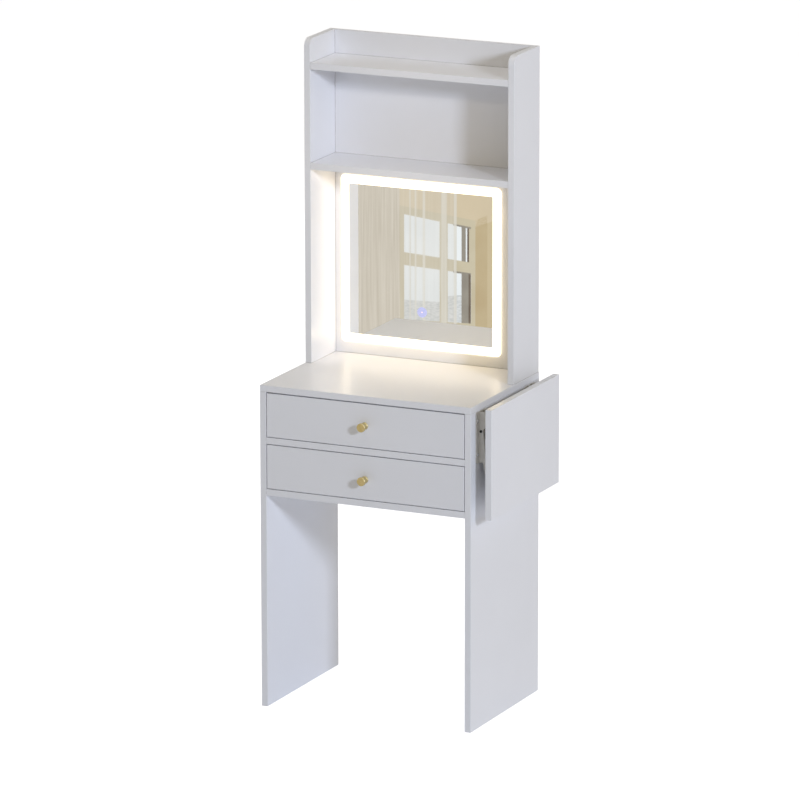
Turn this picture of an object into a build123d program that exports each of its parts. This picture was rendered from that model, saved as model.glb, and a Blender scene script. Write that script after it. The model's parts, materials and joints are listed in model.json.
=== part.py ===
from build123d import *
import os
from collections import namedtuple
from math import atan2, degrees

# Vanity table with a lit mirror, two drawers and a side leaf that folds down. Millimetres, +Z up.
# +Y runs from the front to the back and +X to the side that carries the leaf.
# Sizes are laid out from the carcass's own middle, and at() moves them to the frame of the whole
# object, whose origin is on the floor in the middle of everything, leaf and knobs included.

os.makedirs("parts", exist_ok=True)

# ---- Driving dimensions ----
WIDTH = 520.0             # carcass, outside to outside
DEPTH = 375.0             # carcass, front edge to back edge
HEIGHT = 1500.0
DESK_HEIGHT = 750.0
BOARD = 15.0              # laminated board
EASE = 0.6                # rounding of every board edge
HUTCH_DEPTH = 140.0
HUTCH_INSET = 1.0         # the hutch stands this far in from each side of the desk top
HUTCH_CORNER = 20.0       # radius of the hutch sides' top front corners
HUTCH_BACK = 9.0          # thickness of the hutch's back panel
BACK_INSET = 0.5          # the hutch's back panel lies this far in from the back edges
SHELF_TOPS = (1215.0, 1445.0)
DRAWER_OPENING = 105.0
RAIL_DEPTH = 80.0

FRONT_SIDE_GAP = 1.75     # gaps round a drawer front
FRONT_LOW_GAP = 1.75
FRONT_TOP_GAPS = (2.0, 2.75)
BOX_HEIGHT = 70.0
BOX_DEPTH = 320.0
BOX_LIFT = 13.0           # the drawer box's underside above its opening
BOTTOM_LIFT = 6.0         # the drawer bottom above the box's underside
BOTTOM_SHEET = 3.0
GROOVE = 6.0              # depth of the groove that holds the drawer bottom
GROOVE_PLAY = 0.3
KNOB_HEIGHTS = (558.0, 682.0)
KNOB_LENGTH = 22.0
KNOB_RADIUS = 10.0
KNOB_HEAD = 6.0           # thickness of the knob's head
KNOB_FOOT = 8.0           # radius of its foot
KNOB_NECK = 6.2           # radius of its neck
KNOB_BORE = 8.5           # depth of the hole for its screw
DRAWER_NAMES = ("lower", "upper")

RUNNER_WIDTH = 12.7       # space between carcass and drawer box
RUNNER_LENGTH = 300.0
RUNNER_HEIGHT = 35.0
RUNNER_INNER_HEIGHT = 25.4
RUNNER_SHEET = 1.2
RUNNER_START = 17.5       # front end of a runner behind the carcass's front edge
RUNNER_LIFT = 35.0        # runner's middle above the drawer box's underside
CAGE_LENGTH = 75.0
BALL_PITCH = 13.0
BALL_RADIUS = 1.55

MIRROR_X = (-228.0, 170.0)
MIRROR_Z = (777.5, 1167.0)
BAND = 19.5               # width of the lit band round the glass
GLASS = 4.0               # thickness of glass and band
LED_CHANNEL = 8.0
LED_DEPTH = 5.0
LED_TAPE = 7.0
SENSOR_X = -25.0
SENSOR_Z = 863.0

LEAF_LENGTH = 252.0
LEAF_GAP = 1.5            # between the raised leaf and the desk top
LEAF_REACH = 9.75         # from the leaf's pivot to its underside
LEAF_LIP = 23.75          # from the leaf's pivot to its hinged edge
BRACKET_Y = 134.0         # each bracket's middle, in front of and behind the carcass's middle
SHEET = 1.5               # bracket steel
BRACE_PIVOT_OUT = 6.0     # brace pivot out from the side panel
BRACE_PIVOT_Z = 687.5
BRACE_LENGTH = 120.0
PLAY = 0.05               # running clearance round a pin, and round a screw or dowel

# ---- Places worked out from them ----
SIDE = WIDTH / 2                          # outer face of a side panel
INNER = SIDE - BOARD                      # inner face of a side panel
FRONT = -DEPTH / 2
BACK = DEPTH / 2
UNDER_TOP = DESK_HEIGHT - BOARD
RAIL_LOW = UNDER_TOP - DRAWER_OPENING - BOARD
BAY_LOW = RAIL_LOW - DRAWER_OPENING       # top face of the bottom board
HUTCH_OUT = SIDE - HUTCH_INSET
HUTCH_IN = HUTCH_OUT - BOARD
HUTCH_FRONT = BACK - HUTCH_DEPTH
PANEL_BACK = BACK - BACK_INSET
PANEL_FRONT = PANEL_BACK - HUTCH_BACK
BAY_BACK = BACK - BOARD                   # front face of the board behind the drawers
BOX_OUT = INNER - RUNNER_WIDTH
BOX_IN = BOX_OUT - BOARD
BOX_FRONT = FRONT + BOARD
BOX_REAR = BOX_FRONT + BOX_DEPTH
LEAF_PIVOT = (SIDE + LEAF_GAP + LEAF_LIP, DESK_HEIGHT - BOARD - LEAF_REACH)
LEAF_IN = LEAF_PIVOT[0] + LEAF_REACH
LEAF_OUT = LEAF_IN + BOARD
LEAF_TOP = LEAF_PIVOT[1] + LEAF_LIP
BRACE_PIVOT = (SIDE + BRACE_PIVOT_OUT, BRACE_PIVOT_Z)
ORIGIN_X = (LEAF_OUT - SIDE) / 2          # middle of the whole object, from the carcass's middle
ORIGIN_Y = (FRONT - KNOB_LENGTH + BACK) / 2

X, Y, Z = (1, 0, 0), (0, 1, 0), (0, 0, 1)
LEFT, RIGHT = -1, 1


# ---- Helpers ----
def at(x, y, z):
    """A point given from the carcass's middle, in the frame of the whole object."""
    return (x - ORIGIN_X, y - ORIGIN_Y, z)


def flip(direction):
    return tuple(-part for part in direction)


def step_along(point, direction, distance):
    return tuple(p + d * distance for p, d in zip(point, direction))


def across(side, near, far):
    """The limits in X between two distances from the middle, on the left or the right side."""
    return tuple(sorted((side * near, side * far)))


def slab(x, y, z, mode=Mode.ADD):
    """A block between pairs of limits, added to the piece being built or cut from it."""
    with BuildSketch(Plane(at(sum(x) / 2, sum(y) / 2, z[0]))) as outline:
        Rectangle(x[1] - x[0], y[1] - y[0])
    extrude(outline.sketch, amount=z[1] - z[0], mode=mode)


def eased_board(x, y, z):
    """A board between pairs of limits with all its edges eased."""
    slab(x, y, z)
    fillet(edges(), EASE)


def looking_back(y):
    """The upright plane at this depth: its own x and y are the carcass's X and Z, and it faces the front."""
    return Plane(at(0, y, 0), x_dir=X, z_dir=flip(Y))


def holes(places, radius, depth):
    """Round holes. Each place is a point and the direction that the hole's mouth faces."""
    with Locations(*[Plane(at(*point), z_dir=facing) for point, facing in places]):
        Hole(radius, depth)


def save(piece, label):
    piece.part.label = label
    export_step(piece.part, f"parts/{label}.step")


# ---- Fasteners ----
# A cam joint: a bolt stands in the bolted board, crosses into the cammed board's edge at point, and
# its head sits in a cam lock let into that board's face. A long bolt first crosses a third board.
CamJoint = namedtuple("CamJoint", "bolted cammed point into face lead crossed", defaults=(0.0, None))
Dowel = namedtuple("Dowel", "faced edged point into")

CAM_RADIUS = 7.5
CAM_HEIGHT = 12.0
CAM_REACH = 24.0
CAM_AXIS_DEPTH = BOARD / 2
BOLT_THREAD = 10.0
BOLT_RADIUS = 2.5
BOLT_COLLAR = 3.6
BOLT_HEAD = 3.4
DOWEL_RADIUS = 4.0
DOWEL_IN_FACE = 10.0
DOWEL_IN_EDGE = 20.0

CARCASS_CAMS, CARCASS_DOWELS = [], []
for side, word in ((LEFT, "left"), (RIGHT, "right")):
    panel, hutch = f"{word}_side_panel", f"hutch_{word}_panel"
    inward = (-side, 0, 0)
    middle = side * (INNER + BOARD / 2)
    top_joint = dict(cammed=panel, into=flip(Z), face=inward)
    CARCASS_CAMS.append(CamJoint(bolted="desk_top", point=(middle, -134, UNDER_TOP), **top_joint))
    for y in (75, 134):
        point = (middle, y, UNDER_TOP)
        CARCASS_CAMS.append(CamJoint(bolted=hutch, point=point, lead=BOARD, crossed="desk_top", **top_joint))
    for y in (-170, -40, 30):
        CARCASS_DOWELS.append(Dowel("desk_top", panel, (middle, y, UNDER_TOP), flip(Z)))
    for y in (112, 172):
        point = (side * (HUTCH_OUT - BOARD / 2), y, DESK_HEIGHT)
        CARCASS_DOWELS.append(Dowel("desk_top", hutch, point, Z))

    rail_z = RAIL_LOW + BOARD / 2
    floor_z = BAY_LOW - BOARD / 2
    edge_joint = dict(bolted=panel, into=inward)
    CARCASS_CAMS.append(CamJoint(cammed="middle_rail", point=(side * INNER, -147.5, rail_z),
                                 face=flip(Z), **edge_joint))
    for y in (-167.5, -127.5):
        CARCASS_DOWELS.append(Dowel(panel, "middle_rail", (side * INNER, y, rail_z), inward))
    for y in (-147.5, 120):
        CARCASS_CAMS.append(CamJoint(cammed="bottom_board", point=(side * INNER, y, floor_z),
                                     face=flip(Z), **edge_joint))
    for y in (-100, 0, 85):
        CARCASS_DOWELS.append(Dowel(panel, "bottom_board", (side * INNER, y, floor_z), inward))
    for z in (540, 700):
        point = (side * INNER, BACK - BOARD / 2, z)
        CARCASS_CAMS.append(CamJoint(cammed="drawer_bay_back", point=point, face=Y, **edge_joint))
    CARCASS_DOWELS.append(Dowel(panel, "drawer_bay_back", (side * INNER, BACK - BOARD / 2, 620), inward))
    for shelf, top in zip(("lower_shelf", "top_shelf"), SHELF_TOPS):
        for y in (90, 150):
            point = (side * HUTCH_IN, y, top - BOARD / 2)
            CARCASS_CAMS.append(CamJoint(hutch, shelf, point, inward, flip(Z)))
        for y in (62, 120):
            CARCASS_DOWELS.append(Dowel(hutch, shelf, (side * HUTCH_IN, y, top - BOARD / 2), inward))


def cam_face_point(joint):
    """Middle of the cam lock's mouth, on the face of its board."""
    return step_along(step_along(joint.point, joint.into, CAM_REACH), joint.face, CAM_AXIS_DEPTH)


def cut_cams(name, joints):
    """Holes in the named board for every cam joint that touches it."""
    for joint in joints:
        if name == joint.bolted:
            start = step_along(joint.point, joint.into, -joint.lead)
            holes([(start, joint.into)], BOLT_RADIUS + PLAY, BOLT_THREAD + PLAY)
        if name == joint.crossed:
            holes([(joint.point, joint.into)], BOLT_COLLAR + PLAY, joint.lead)
        if name == joint.cammed:
            holes([(joint.point, flip(joint.into))], BOLT_COLLAR + PLAY, CAM_REACH)
            holes([(cam_face_point(joint), joint.face)], CAM_RADIUS + PLAY, CAM_HEIGHT + PLAY)


def cut_dowels(name):
    """Holes in the named board for every dowel that touches it."""
    for dowel in CARCASS_DOWELS:
        if name == dowel.faced:
            holes([(dowel.point, dowel.into)], DOWEL_RADIUS + PLAY, DOWEL_IN_FACE)
        if name == dowel.edged:
            holes([(dowel.point, flip(dowel.into))], DOWEL_RADIUS + PLAY, DOWEL_IN_EDGE)


def cam_bolt(joint):
    """Threaded end, collar and neck that end in a round head, along the joint's own direction."""
    axis = Plane(at(*joint.point), z_dir=joint.into)
    stretches = (
        (-joint.lead - BOLT_THREAD, -joint.lead, BOLT_RADIUS),
        (-joint.lead, 6.0, BOLT_COLLAR),
        (6.0, CAM_REACH - 3.0, BOLT_RADIUS - 0.7),
        (CAM_REACH - 3.0, CAM_REACH + 1.5, BOLT_HEAD),
    )
    for start, end, radius in stretches:
        with BuildSketch(axis.offset(start)) as disc:
            Circle(radius)
        extrude(disc.sketch, amount=end - start)


def cam_lock(joint):
    """A slotted drum that closes on the bolt's head, with a cross for the screwdriver."""
    face = Plane(at(*cam_face_point(joint)), x_dir=flip(joint.into), z_dir=joint.face)
    room = BOLT_COLLAR + 0.3
    with BuildSketch(face) as disc:
        Circle(CAM_RADIUS)
    extrude(disc.sketch, amount=-CAM_HEIGHT)
    with BuildSketch(face.offset(-CAM_AXIS_DEPTH - room)) as mouth:
        with Locations(((CAM_RADIUS - room) / 2 + 1, 0)):
            Rectangle(CAM_RADIUS + room + 2, 2 * room)
    extrude(mouth.sketch, amount=2 * room, mode=Mode.SUBTRACT)
    with BuildSketch(face) as cross:
        Rectangle(8, 1.6)
        Rectangle(1.6, 8)
    extrude(cross.sketch, amount=-1.8, mode=Mode.SUBTRACT)


Screw = namedtuple("Screw", "shank head length pan", defaults=(0.0,))
BACK_SCREW = Screw(1.75, 3.5, 32.0)
COVER_SCREW = Screw(1.25, 2.4, 7.0)
RUNNER_SCREW = Screw(1.6, 3.0, 12.0)
BOX_SCREW = Screw(1.75, 3.5, 38.0)
BRACKET_SCREW = Screw(1.75, 3.6, 12.0, 2.0)
KNOB_SCREW = Screw(2.0, 4.2, 23.0, 2.4)


def add_screws(screw, places):
    """Screws at these places. A sunk head lies flush, and a pan head stands above the surface."""
    for point, facing in places:
        top = Plane(at(*point), z_dir=facing)
        with BuildSketch(top) as shank:
            Circle(screw.shank)
        extrude(shank.sketch, amount=-screw.length)
        with BuildSketch(top) as head:
            Circle(screw.head)
        if screw.pan:
            extrude(head.sketch, amount=screw.pan, taper=15)
        else:
            extrude(head.sketch, amount=-(screw.head - screw.shank), taper=45)
        with BuildSketch(top.offset(screw.pan)) as cross:
            Rectangle(screw.head * 1.1, screw.head * 0.25)
            Rectangle(screw.head * 0.25, screw.head * 1.1)
        extrude(cross.sketch, amount=-screw.head * 0.3, mode=Mode.SUBTRACT)


def cut_screws(screw, places):
    """Holes for these screws, with room for a sunk head."""
    with Locations(*[Plane(at(*point), z_dir=facing) for point, facing in places]):
        if screw.pan:
            Hole(screw.shank + PLAY, screw.length + PLAY)
        else:
            CounterSinkHole(screw.shank + PLAY, screw.head + PLAY, screw.length + PLAY, 90)


# ---- Boards ----
def plain_board(label, x, y, z, screw_sets=()):
    """A board with the holes of its cam joints, its dowels and any screws."""
    with BuildPart() as board:
        eased_board(x, y, z)
        cut_cams(label, CARCASS_CAMS)
        cut_dowels(label)
        for screw, places in screw_sets:
            cut_screws(screw, places)
    save(board, label)


SHELF_SCREWS = [((x, PANEL_BACK, top - BOARD / 2), Y) for top in SHELF_TOPS for x in (-180, -60, 60, 180)]
BAY_SCREWS = [((x, BACK, BAY_LOW - BOARD / 2), Y) for x in (-150, 0, 150)]
RUNNER_SCREW_YS = [FRONT + RUNNER_START + part * RUNNER_LENGTH for part in (0.1, 0.5, 0.9)]
BAYS = [(BAY_LOW, BAY_LOW + DRAWER_OPENING), (RAIL_LOW + BOARD, UNDER_TOP)]
BOX_LOWS = [low + BOX_LIFT for low, _ in BAYS]
RUNNER_ZS = [low + RUNNER_LIFT for low in BOX_LOWS]


def cabinet_runner_screws(side):
    web = side * (INNER - RUNNER_SHEET)
    return [((web, y, z), (-side, 0, 0)) for z in RUNNER_ZS for y in RUNNER_SCREW_YS]


BRACKET_HALF = 12.0       # half the width over the wall bracket's cheeks
FLANGE_HALF = 27.5        # half the width over the screw flanges
FLANGE_HOLE = 20.0
WALL_LOW = 616.0
WALL_TOP = 732.5


def wall_screws(middle_y):
    places = [(y, z) for y in (middle_y - FLANGE_HOLE, middle_y + FLANGE_HOLE) for z in (636, 712)]
    return [((SIDE + SHEET, y, z), X) for y, z in places]


WALL_SCREWS = [place for y in (-BRACKET_Y, BRACKET_Y) for place in wall_screws(y)]

for side, word in ((LEFT, "left"), (RIGHT, "right")):
    screw_sets = [(RUNNER_SCREW, cabinet_runner_screws(side))]
    if side == RIGHT:
        screw_sets.append((BRACKET_SCREW, WALL_SCREWS))
    plain_board(f"{word}_side_panel", across(side, INNER, SIDE), (FRONT, BACK), (0, UNDER_TOP), screw_sets)

plain_board("desk_top", (-SIDE, SIDE), (FRONT, BACK), (UNDER_TOP, DESK_HEIGHT))
plain_board("middle_rail", (-INNER, INNER), (FRONT, FRONT + RAIL_DEPTH), (RAIL_LOW, RAIL_LOW + BOARD))
plain_board("bottom_board", (-INNER, INNER), (FRONT, BAY_BACK), (BAY_LOW - BOARD, BAY_LOW),
            [(BACK_SCREW, BAY_SCREWS)])
plain_board("drawer_bay_back", (-INNER, INNER), (BAY_BACK, BACK), (BAY_LOW - BOARD, UNDER_TOP),
            [(BACK_SCREW, BAY_SCREWS)])
for shelf, top in zip(("lower_shelf", "top_shelf"), SHELF_TOPS):
    plain_board(shelf, (-HUTCH_IN, HUTCH_IN), (HUTCH_FRONT, PANEL_FRONT), (top - BOARD, top),
                [(BACK_SCREW, SHELF_SCREWS)])

for side, word in ((LEFT, "left"), (RIGHT, "right")):
    with BuildPart() as hutch_side:
        slab(across(side, HUTCH_IN, HUTCH_OUT), (HUTCH_FRONT, BACK), (DESK_HEIGHT, HEIGHT))
        fillet(edges().filter_by(Axis.X).group_by(Axis.Z)[-1].sort_by(Axis.Y)[0], HUTCH_CORNER)
        fillet(edges(), EASE)
        cut_cams(f"hutch_{word}_panel", CARCASS_CAMS)
        cut_dowels(f"hutch_{word}_panel")
    save(hutch_side, f"hutch_{word}_panel")

# ---- Mirror, its light and its switch ----
MIRROR_SIZE = (MIRROR_X[1] - MIRROR_X[0], MIRROR_Z[1] - MIRROR_Z[0])
MIRROR_MIDDLE = (sum(MIRROR_X) / 2, sum(MIRROR_Z) / 2)
BAND_CORNER = 10.0
GLASS_CORNER = 3.0
GLASS_GAP = 0.2


def ring(y, thickness, inset, width, mode=Mode.ADD):
    """A rounded rectangular ring inside the mirror's outline, from this depth towards the front."""
    corner = BAND_CORNER - min(inset, BAND_CORNER - GLASS_CORNER)
    inner_corner = BAND_CORNER - min(inset + width, BAND_CORNER - GLASS_CORNER)
    with BuildSketch(looking_back(y)) as outline:
        with Locations(MIRROR_MIDDLE):
            RectangleRounded(*[size - 2 * inset for size in MIRROR_SIZE], corner)
            RectangleRounded(*[size - 2 * (inset + width) for size in MIRROR_SIZE], inner_corner,
                             mode=Mode.SUBTRACT)
    extrude(outline.sketch, amount=thickness, mode=mode)


with BuildPart() as light_band:
    ring(PANEL_FRONT, GLASS, 0, BAND)
    fillet(edges().group_by(Axis.Y)[0], 0.6)
save(light_band, "light_band")

with BuildPart() as mirror_glass:
    with BuildSketch(looking_back(PANEL_FRONT)) as outline:
        with Locations(MIRROR_MIDDLE):
            RectangleRounded(*[size - 2 * (BAND + GLASS_GAP) for size in MIRROR_SIZE], GLASS_CORNER)
    extrude(outline.sketch, amount=GLASS)
    chamfer(edges().group_by(Axis.Y)[0], 0.4)
save(mirror_glass, "mirror_glass")

LED_INSET = (BAND - LED_TAPE) / 2
LED_FLOOR = PANEL_FRONT + LED_DEPTH
LED_ROW_INSET = BAND / 2
CHIP = (5.0, 3.0, 1.0)
CHIP_PITCH = 30.0
with BuildPart() as led_strip:
    ring(LED_FLOOR, 1.0, LED_INSET, LED_TAPE)
    with BuildSketch(looking_back(LED_FLOOR - 1.0)) as chips:
        half_x, half_z = [size / 2 - LED_ROW_INSET for size in MIRROR_SIZE]
        with Locations(MIRROR_MIDDLE):
            with Locations((0, half_z), (0, -half_z)):
                with GridLocations(CHIP_PITCH, 0, 12, 1):
                    Rectangle(CHIP[0], CHIP[1])
            with Locations((half_x, 0), (-half_x, 0)):
                with GridLocations(0, CHIP_PITCH, 1, 12):
                    Rectangle(CHIP[1], CHIP[0])
    extrude(chips.sketch, amount=CHIP[2])
save(led_strip, "led_strip")

WINDOW_X = (SENSOR_X - 46.0, SENSOR_X + 46.0)
WINDOW_Z = (838.0, 898.0)
COVER_RIM = 7.0
COVER_SHEET = 2.0
MODULE_X = (SENSOR_X - 28.0, SENSOR_X + 28.0)
MODULE_Z = (845.0, 891.0)
INLET_PLACE = (SENSOR_X + 37.0, 868.0)
INLET_RADIUS = 5.0
LEAD_WIDTH = 4.0
COVER_X = (WINDOW_X[0] - COVER_RIM, WINDOW_X[1] + COVER_RIM)
COVER_Z = (WINDOW_Z[0] - COVER_RIM, WINDOW_Z[1] + COVER_RIM)
COVER_SCREWS = [((x, PANEL_BACK, z), Y)
                for x in (COVER_X[0] + 4, COVER_X[1] - 4) for z in (COVER_Z[0] + 4, COVER_Z[1] - 4)]

with BuildPart() as hutch_back_panel:
    eased_board((-HUTCH_IN, HUTCH_IN), (PANEL_FRONT, PANEL_BACK), (DESK_HEIGHT, HEIGHT))
    ring(LED_FLOOR, LED_DEPTH, (BAND - LED_CHANNEL) / 2, LED_CHANNEL, Mode.SUBTRACT)
    slab((SENSOR_X - LEAD_WIDTH / 2 - 0.5, SENSOR_X + LEAD_WIDTH / 2 + 0.5), (PANEL_FRONT, LED_FLOOR),
         (MIRROR_Z[0] + LED_INSET, WINDOW_Z[0]), Mode.SUBTRACT)
    slab(WINDOW_X, (PANEL_FRONT, PANEL_BACK), WINDOW_Z, Mode.SUBTRACT)
    slab(COVER_X, (PANEL_BACK - COVER_SHEET, PANEL_BACK), COVER_Z, Mode.SUBTRACT)
    cut_screws(BACK_SCREW, SHELF_SCREWS)
    cut_screws(COVER_SCREW, COVER_SCREWS)
save(hutch_back_panel, "hutch_back_panel")

with BuildPart() as led_lead:
    slab((SENSOR_X - LEAD_WIDTH / 2, SENSOR_X + LEAD_WIDTH / 2), (LED_FLOOR - 1.0, LED_FLOOR),
         (MIRROR_Z[0] + LED_INSET + LED_TAPE, MODULE_Z[0]))
save(led_lead, "led_lead")

with BuildPart() as touch_sensor:
    slab(MODULE_X, (PANEL_FRONT + 1.5, PANEL_BACK - COVER_SHEET - 0.5), MODULE_Z)
    fillet(edges().filter_by(Axis.Y), 2.0)
    with BuildSketch(looking_back(PANEL_FRONT + 1.5)) as puck:
        with Locations((SENSOR_X, SENSOR_Z)):
            Circle(12.0)
    extrude(puck.sketch, amount=1.5)
save(touch_sensor, "touch_sensor")

with BuildPart() as rear_cover:
    play = 0.2
    slab((COVER_X[0] + play, COVER_X[1] - play), (PANEL_BACK - COVER_SHEET, PANEL_BACK),
         (COVER_Z[0] + play, COVER_Z[1] - play))
    fillet(edges().filter_by(Axis.Y), 1.5)
    cut_screws(COVER_SCREW, COVER_SCREWS)
    holes([((INLET_PLACE[0], PANEL_BACK, INLET_PLACE[1]), Y)], INLET_RADIUS + PLAY, COVER_SHEET)
save(rear_cover, "rear_cover")

INLET_BORE = 2.75
INLET_PIN = 1.0
INLET_DEPTH = 7.0
with BuildPart() as power_inlet:
    mouth = Plane(at(INLET_PLACE[0], PANEL_BACK, INLET_PLACE[1]), z_dir=Y)
    with BuildSketch(mouth) as body:
        Circle(INLET_RADIUS)
    extrude(body.sketch, amount=-HUTCH_BACK + 0.6)
    with BuildSketch(mouth.offset(-COVER_SHEET)) as collar:
        Circle(INLET_RADIUS + 1.5)
    extrude(collar.sketch, amount=-1.5)
    with BuildSketch(mouth) as socket:
        Circle(INLET_BORE)
        Circle(INLET_PIN, mode=Mode.SUBTRACT)
    extrude(socket.sketch, amount=-INLET_DEPTH, mode=Mode.SUBTRACT)
save(power_inlet, "power_inlet")

# ---- Carcass fasteners ----
with BuildPart() as cam_bolts:
    for joint in CARCASS_CAMS:
        cam_bolt(joint)
save(cam_bolts, "cam_bolts")

with BuildPart() as cam_locks:
    for joint in CARCASS_CAMS:
        cam_lock(joint)
save(cam_locks, "cam_locks")

with BuildPart() as wood_dowels:
    for dowel in CARCASS_DOWELS:
        with BuildSketch(Plane(at(*step_along(dowel.point, dowel.into, -DOWEL_IN_FACE + 0.3)),
                               z_dir=dowel.into)) as end:
            Circle(DOWEL_RADIUS)
        extrude(end.sketch, amount=DOWEL_IN_FACE + DOWEL_IN_EDGE - 0.6)
save(wood_dowels, "wood_dowels")

with BuildPart() as back_screws:
    add_screws(BACK_SCREW, SHELF_SCREWS + BAY_SCREWS)
    add_screws(COVER_SCREW, COVER_SCREWS)
save(back_screws, "back_screws")

# ---- Drawer runners ----
# Distances out from the carcass's inner face, which carries the cabinet runner.
CABINET_REACH = 10.5
LIP_SHEET = 1.0
RACE_LIP = 1.5            # how far the cabinet runner's edges turn in over the balls
DRAWER_CHANNEL = 2.6
CAGE_SPAN = (1.6, 8.9)
BALL_OUT = 6.2
BALL_ROOM = 0.25          # the cage's holes are this much wider than a ball
BALLS_IN_ROW = 5
BALL_ROW = (RUNNER_HEIGHT / 2 - RUNNER_SHEET + RUNNER_INNER_HEIGHT / 2) / 2
CAGE_SHEET = 0.6
CAGE_MIDDLE = FRONT + RUNNER_START + RUNNER_LENGTH / 2
RUNNER_Y = (FRONT + RUNNER_START, FRONT + RUNNER_START + RUNNER_LENGTH)


def runner_block(side, out, y, z, mode=Mode.ADD):
    """A block given by its distances from the carcass's inner face."""
    slab(across(side, INNER - out[1], INNER - out[0]), y, z, mode)


def cabinet_runner(side, z):
    """A channel open towards the drawer, with its edges turned in to hold the balls."""
    half = RUNNER_HEIGHT / 2
    runner_block(side, (0, CABINET_REACH), RUNNER_Y, (z - half, z + half))
    runner_block(side, (RUNNER_SHEET, CABINET_REACH - LIP_SHEET), RUNNER_Y,
                 (z - half + RUNNER_SHEET, z + half - RUNNER_SHEET), Mode.SUBTRACT)
    open_half = half - RUNNER_SHEET - RACE_LIP
    runner_block(side, (RUNNER_SHEET, CABINET_REACH), RUNNER_Y, (z - open_half, z + open_half),
                 Mode.SUBTRACT)


def drawer_runner(side, z):
    """The narrower channel on the drawer, open towards the carcass."""
    half = RUNNER_INNER_HEIGHT / 2
    runner_block(side, (DRAWER_CHANNEL, RUNNER_WIDTH), RUNNER_Y, (z - half, z + half))
    runner_block(side, (DRAWER_CHANNEL, RUNNER_WIDTH - RUNNER_SHEET), RUNNER_Y,
                 (z - half + RUNNER_SHEET, z + half - RUNNER_SHEET), Mode.SUBTRACT)


def ball_cage(side, z):
    """A thin channel that keeps two rows of balls apart, one above and one below."""
    half = BALL_ROW + CAGE_SHEET / 2
    length = (CAGE_MIDDLE - CAGE_LENGTH / 2, CAGE_MIDDLE + CAGE_LENGTH / 2)
    runner_block(side, CAGE_SPAN, length, (z - half, z + half))
    runner_block(side, (CAGE_SPAN[0] + CAGE_SHEET, CAGE_SPAN[1]), length,
                 (z - half + CAGE_SHEET, z + half - CAGE_SHEET), Mode.SUBTRACT)
    ball_x = side * (INNER - BALL_OUT)
    rows = [Plane(at(ball_x, CAGE_MIDDLE, z + row)) for row in (-BALL_ROW, BALL_ROW)]
    with Locations(*rows):
        with GridLocations(0, BALL_PITCH, 1, BALLS_IN_ROW):
            Cylinder(BALL_RADIUS + BALL_ROOM, 2 * CAGE_SHEET, mode=Mode.SUBTRACT)
            Sphere(BALL_RADIUS)


for side, word in ((LEFT, "left"), (RIGHT, "right")):
    for name, z in zip(DRAWER_NAMES, RUNNER_ZS):
        with BuildPart() as outer_runner:
            cabinet_runner(side, z)
            cut_screws(RUNNER_SCREW, cabinet_runner_screws(side))
        save(outer_runner, f"{name}_{word}_cabinet_runner")

for name, z in zip(DRAWER_NAMES, RUNNER_ZS):
    with BuildPart() as ball_cages:
        ball_cage(LEFT, z)
        ball_cage(RIGHT, z)
    save(ball_cages, f"{name}_ball_cages")


# ---- Drawers ----
def knob(z):
    """A turned knob: a foot on the drawer front, a neck and a flat round head, drilled for its screw."""
    head = KNOB_HEAD - KNOB_LENGTH
    with BuildSketch(Plane(at(0, FRONT, z), x_dir=X, z_dir=Z)) as profile:
        with BuildLine():
            Polyline((0, 0), (KNOB_FOOT, 0), (KNOB_FOOT, -1.2), (KNOB_NECK + 0.6, -2.4),
                     (KNOB_NECK, -4.5), (KNOB_NECK, head + 4.0), (KNOB_NECK + 1.0, head + 1.4),
                     (KNOB_RADIUS - 0.6, head + 0.6), (KNOB_RADIUS, head),
                     (KNOB_RADIUS, 0.8 - KNOB_LENGTH), (KNOB_RADIUS - 0.8, -KNOB_LENGTH),
                     (0, -KNOB_LENGTH), close=True)
        make_face()
    revolve(profile.sketch, axis=Axis(at(0, FRONT, z), Y))
    holes([((0, FRONT, z), Y)], KNOB_SCREW.shank + PLAY, KNOB_BORE)


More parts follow.
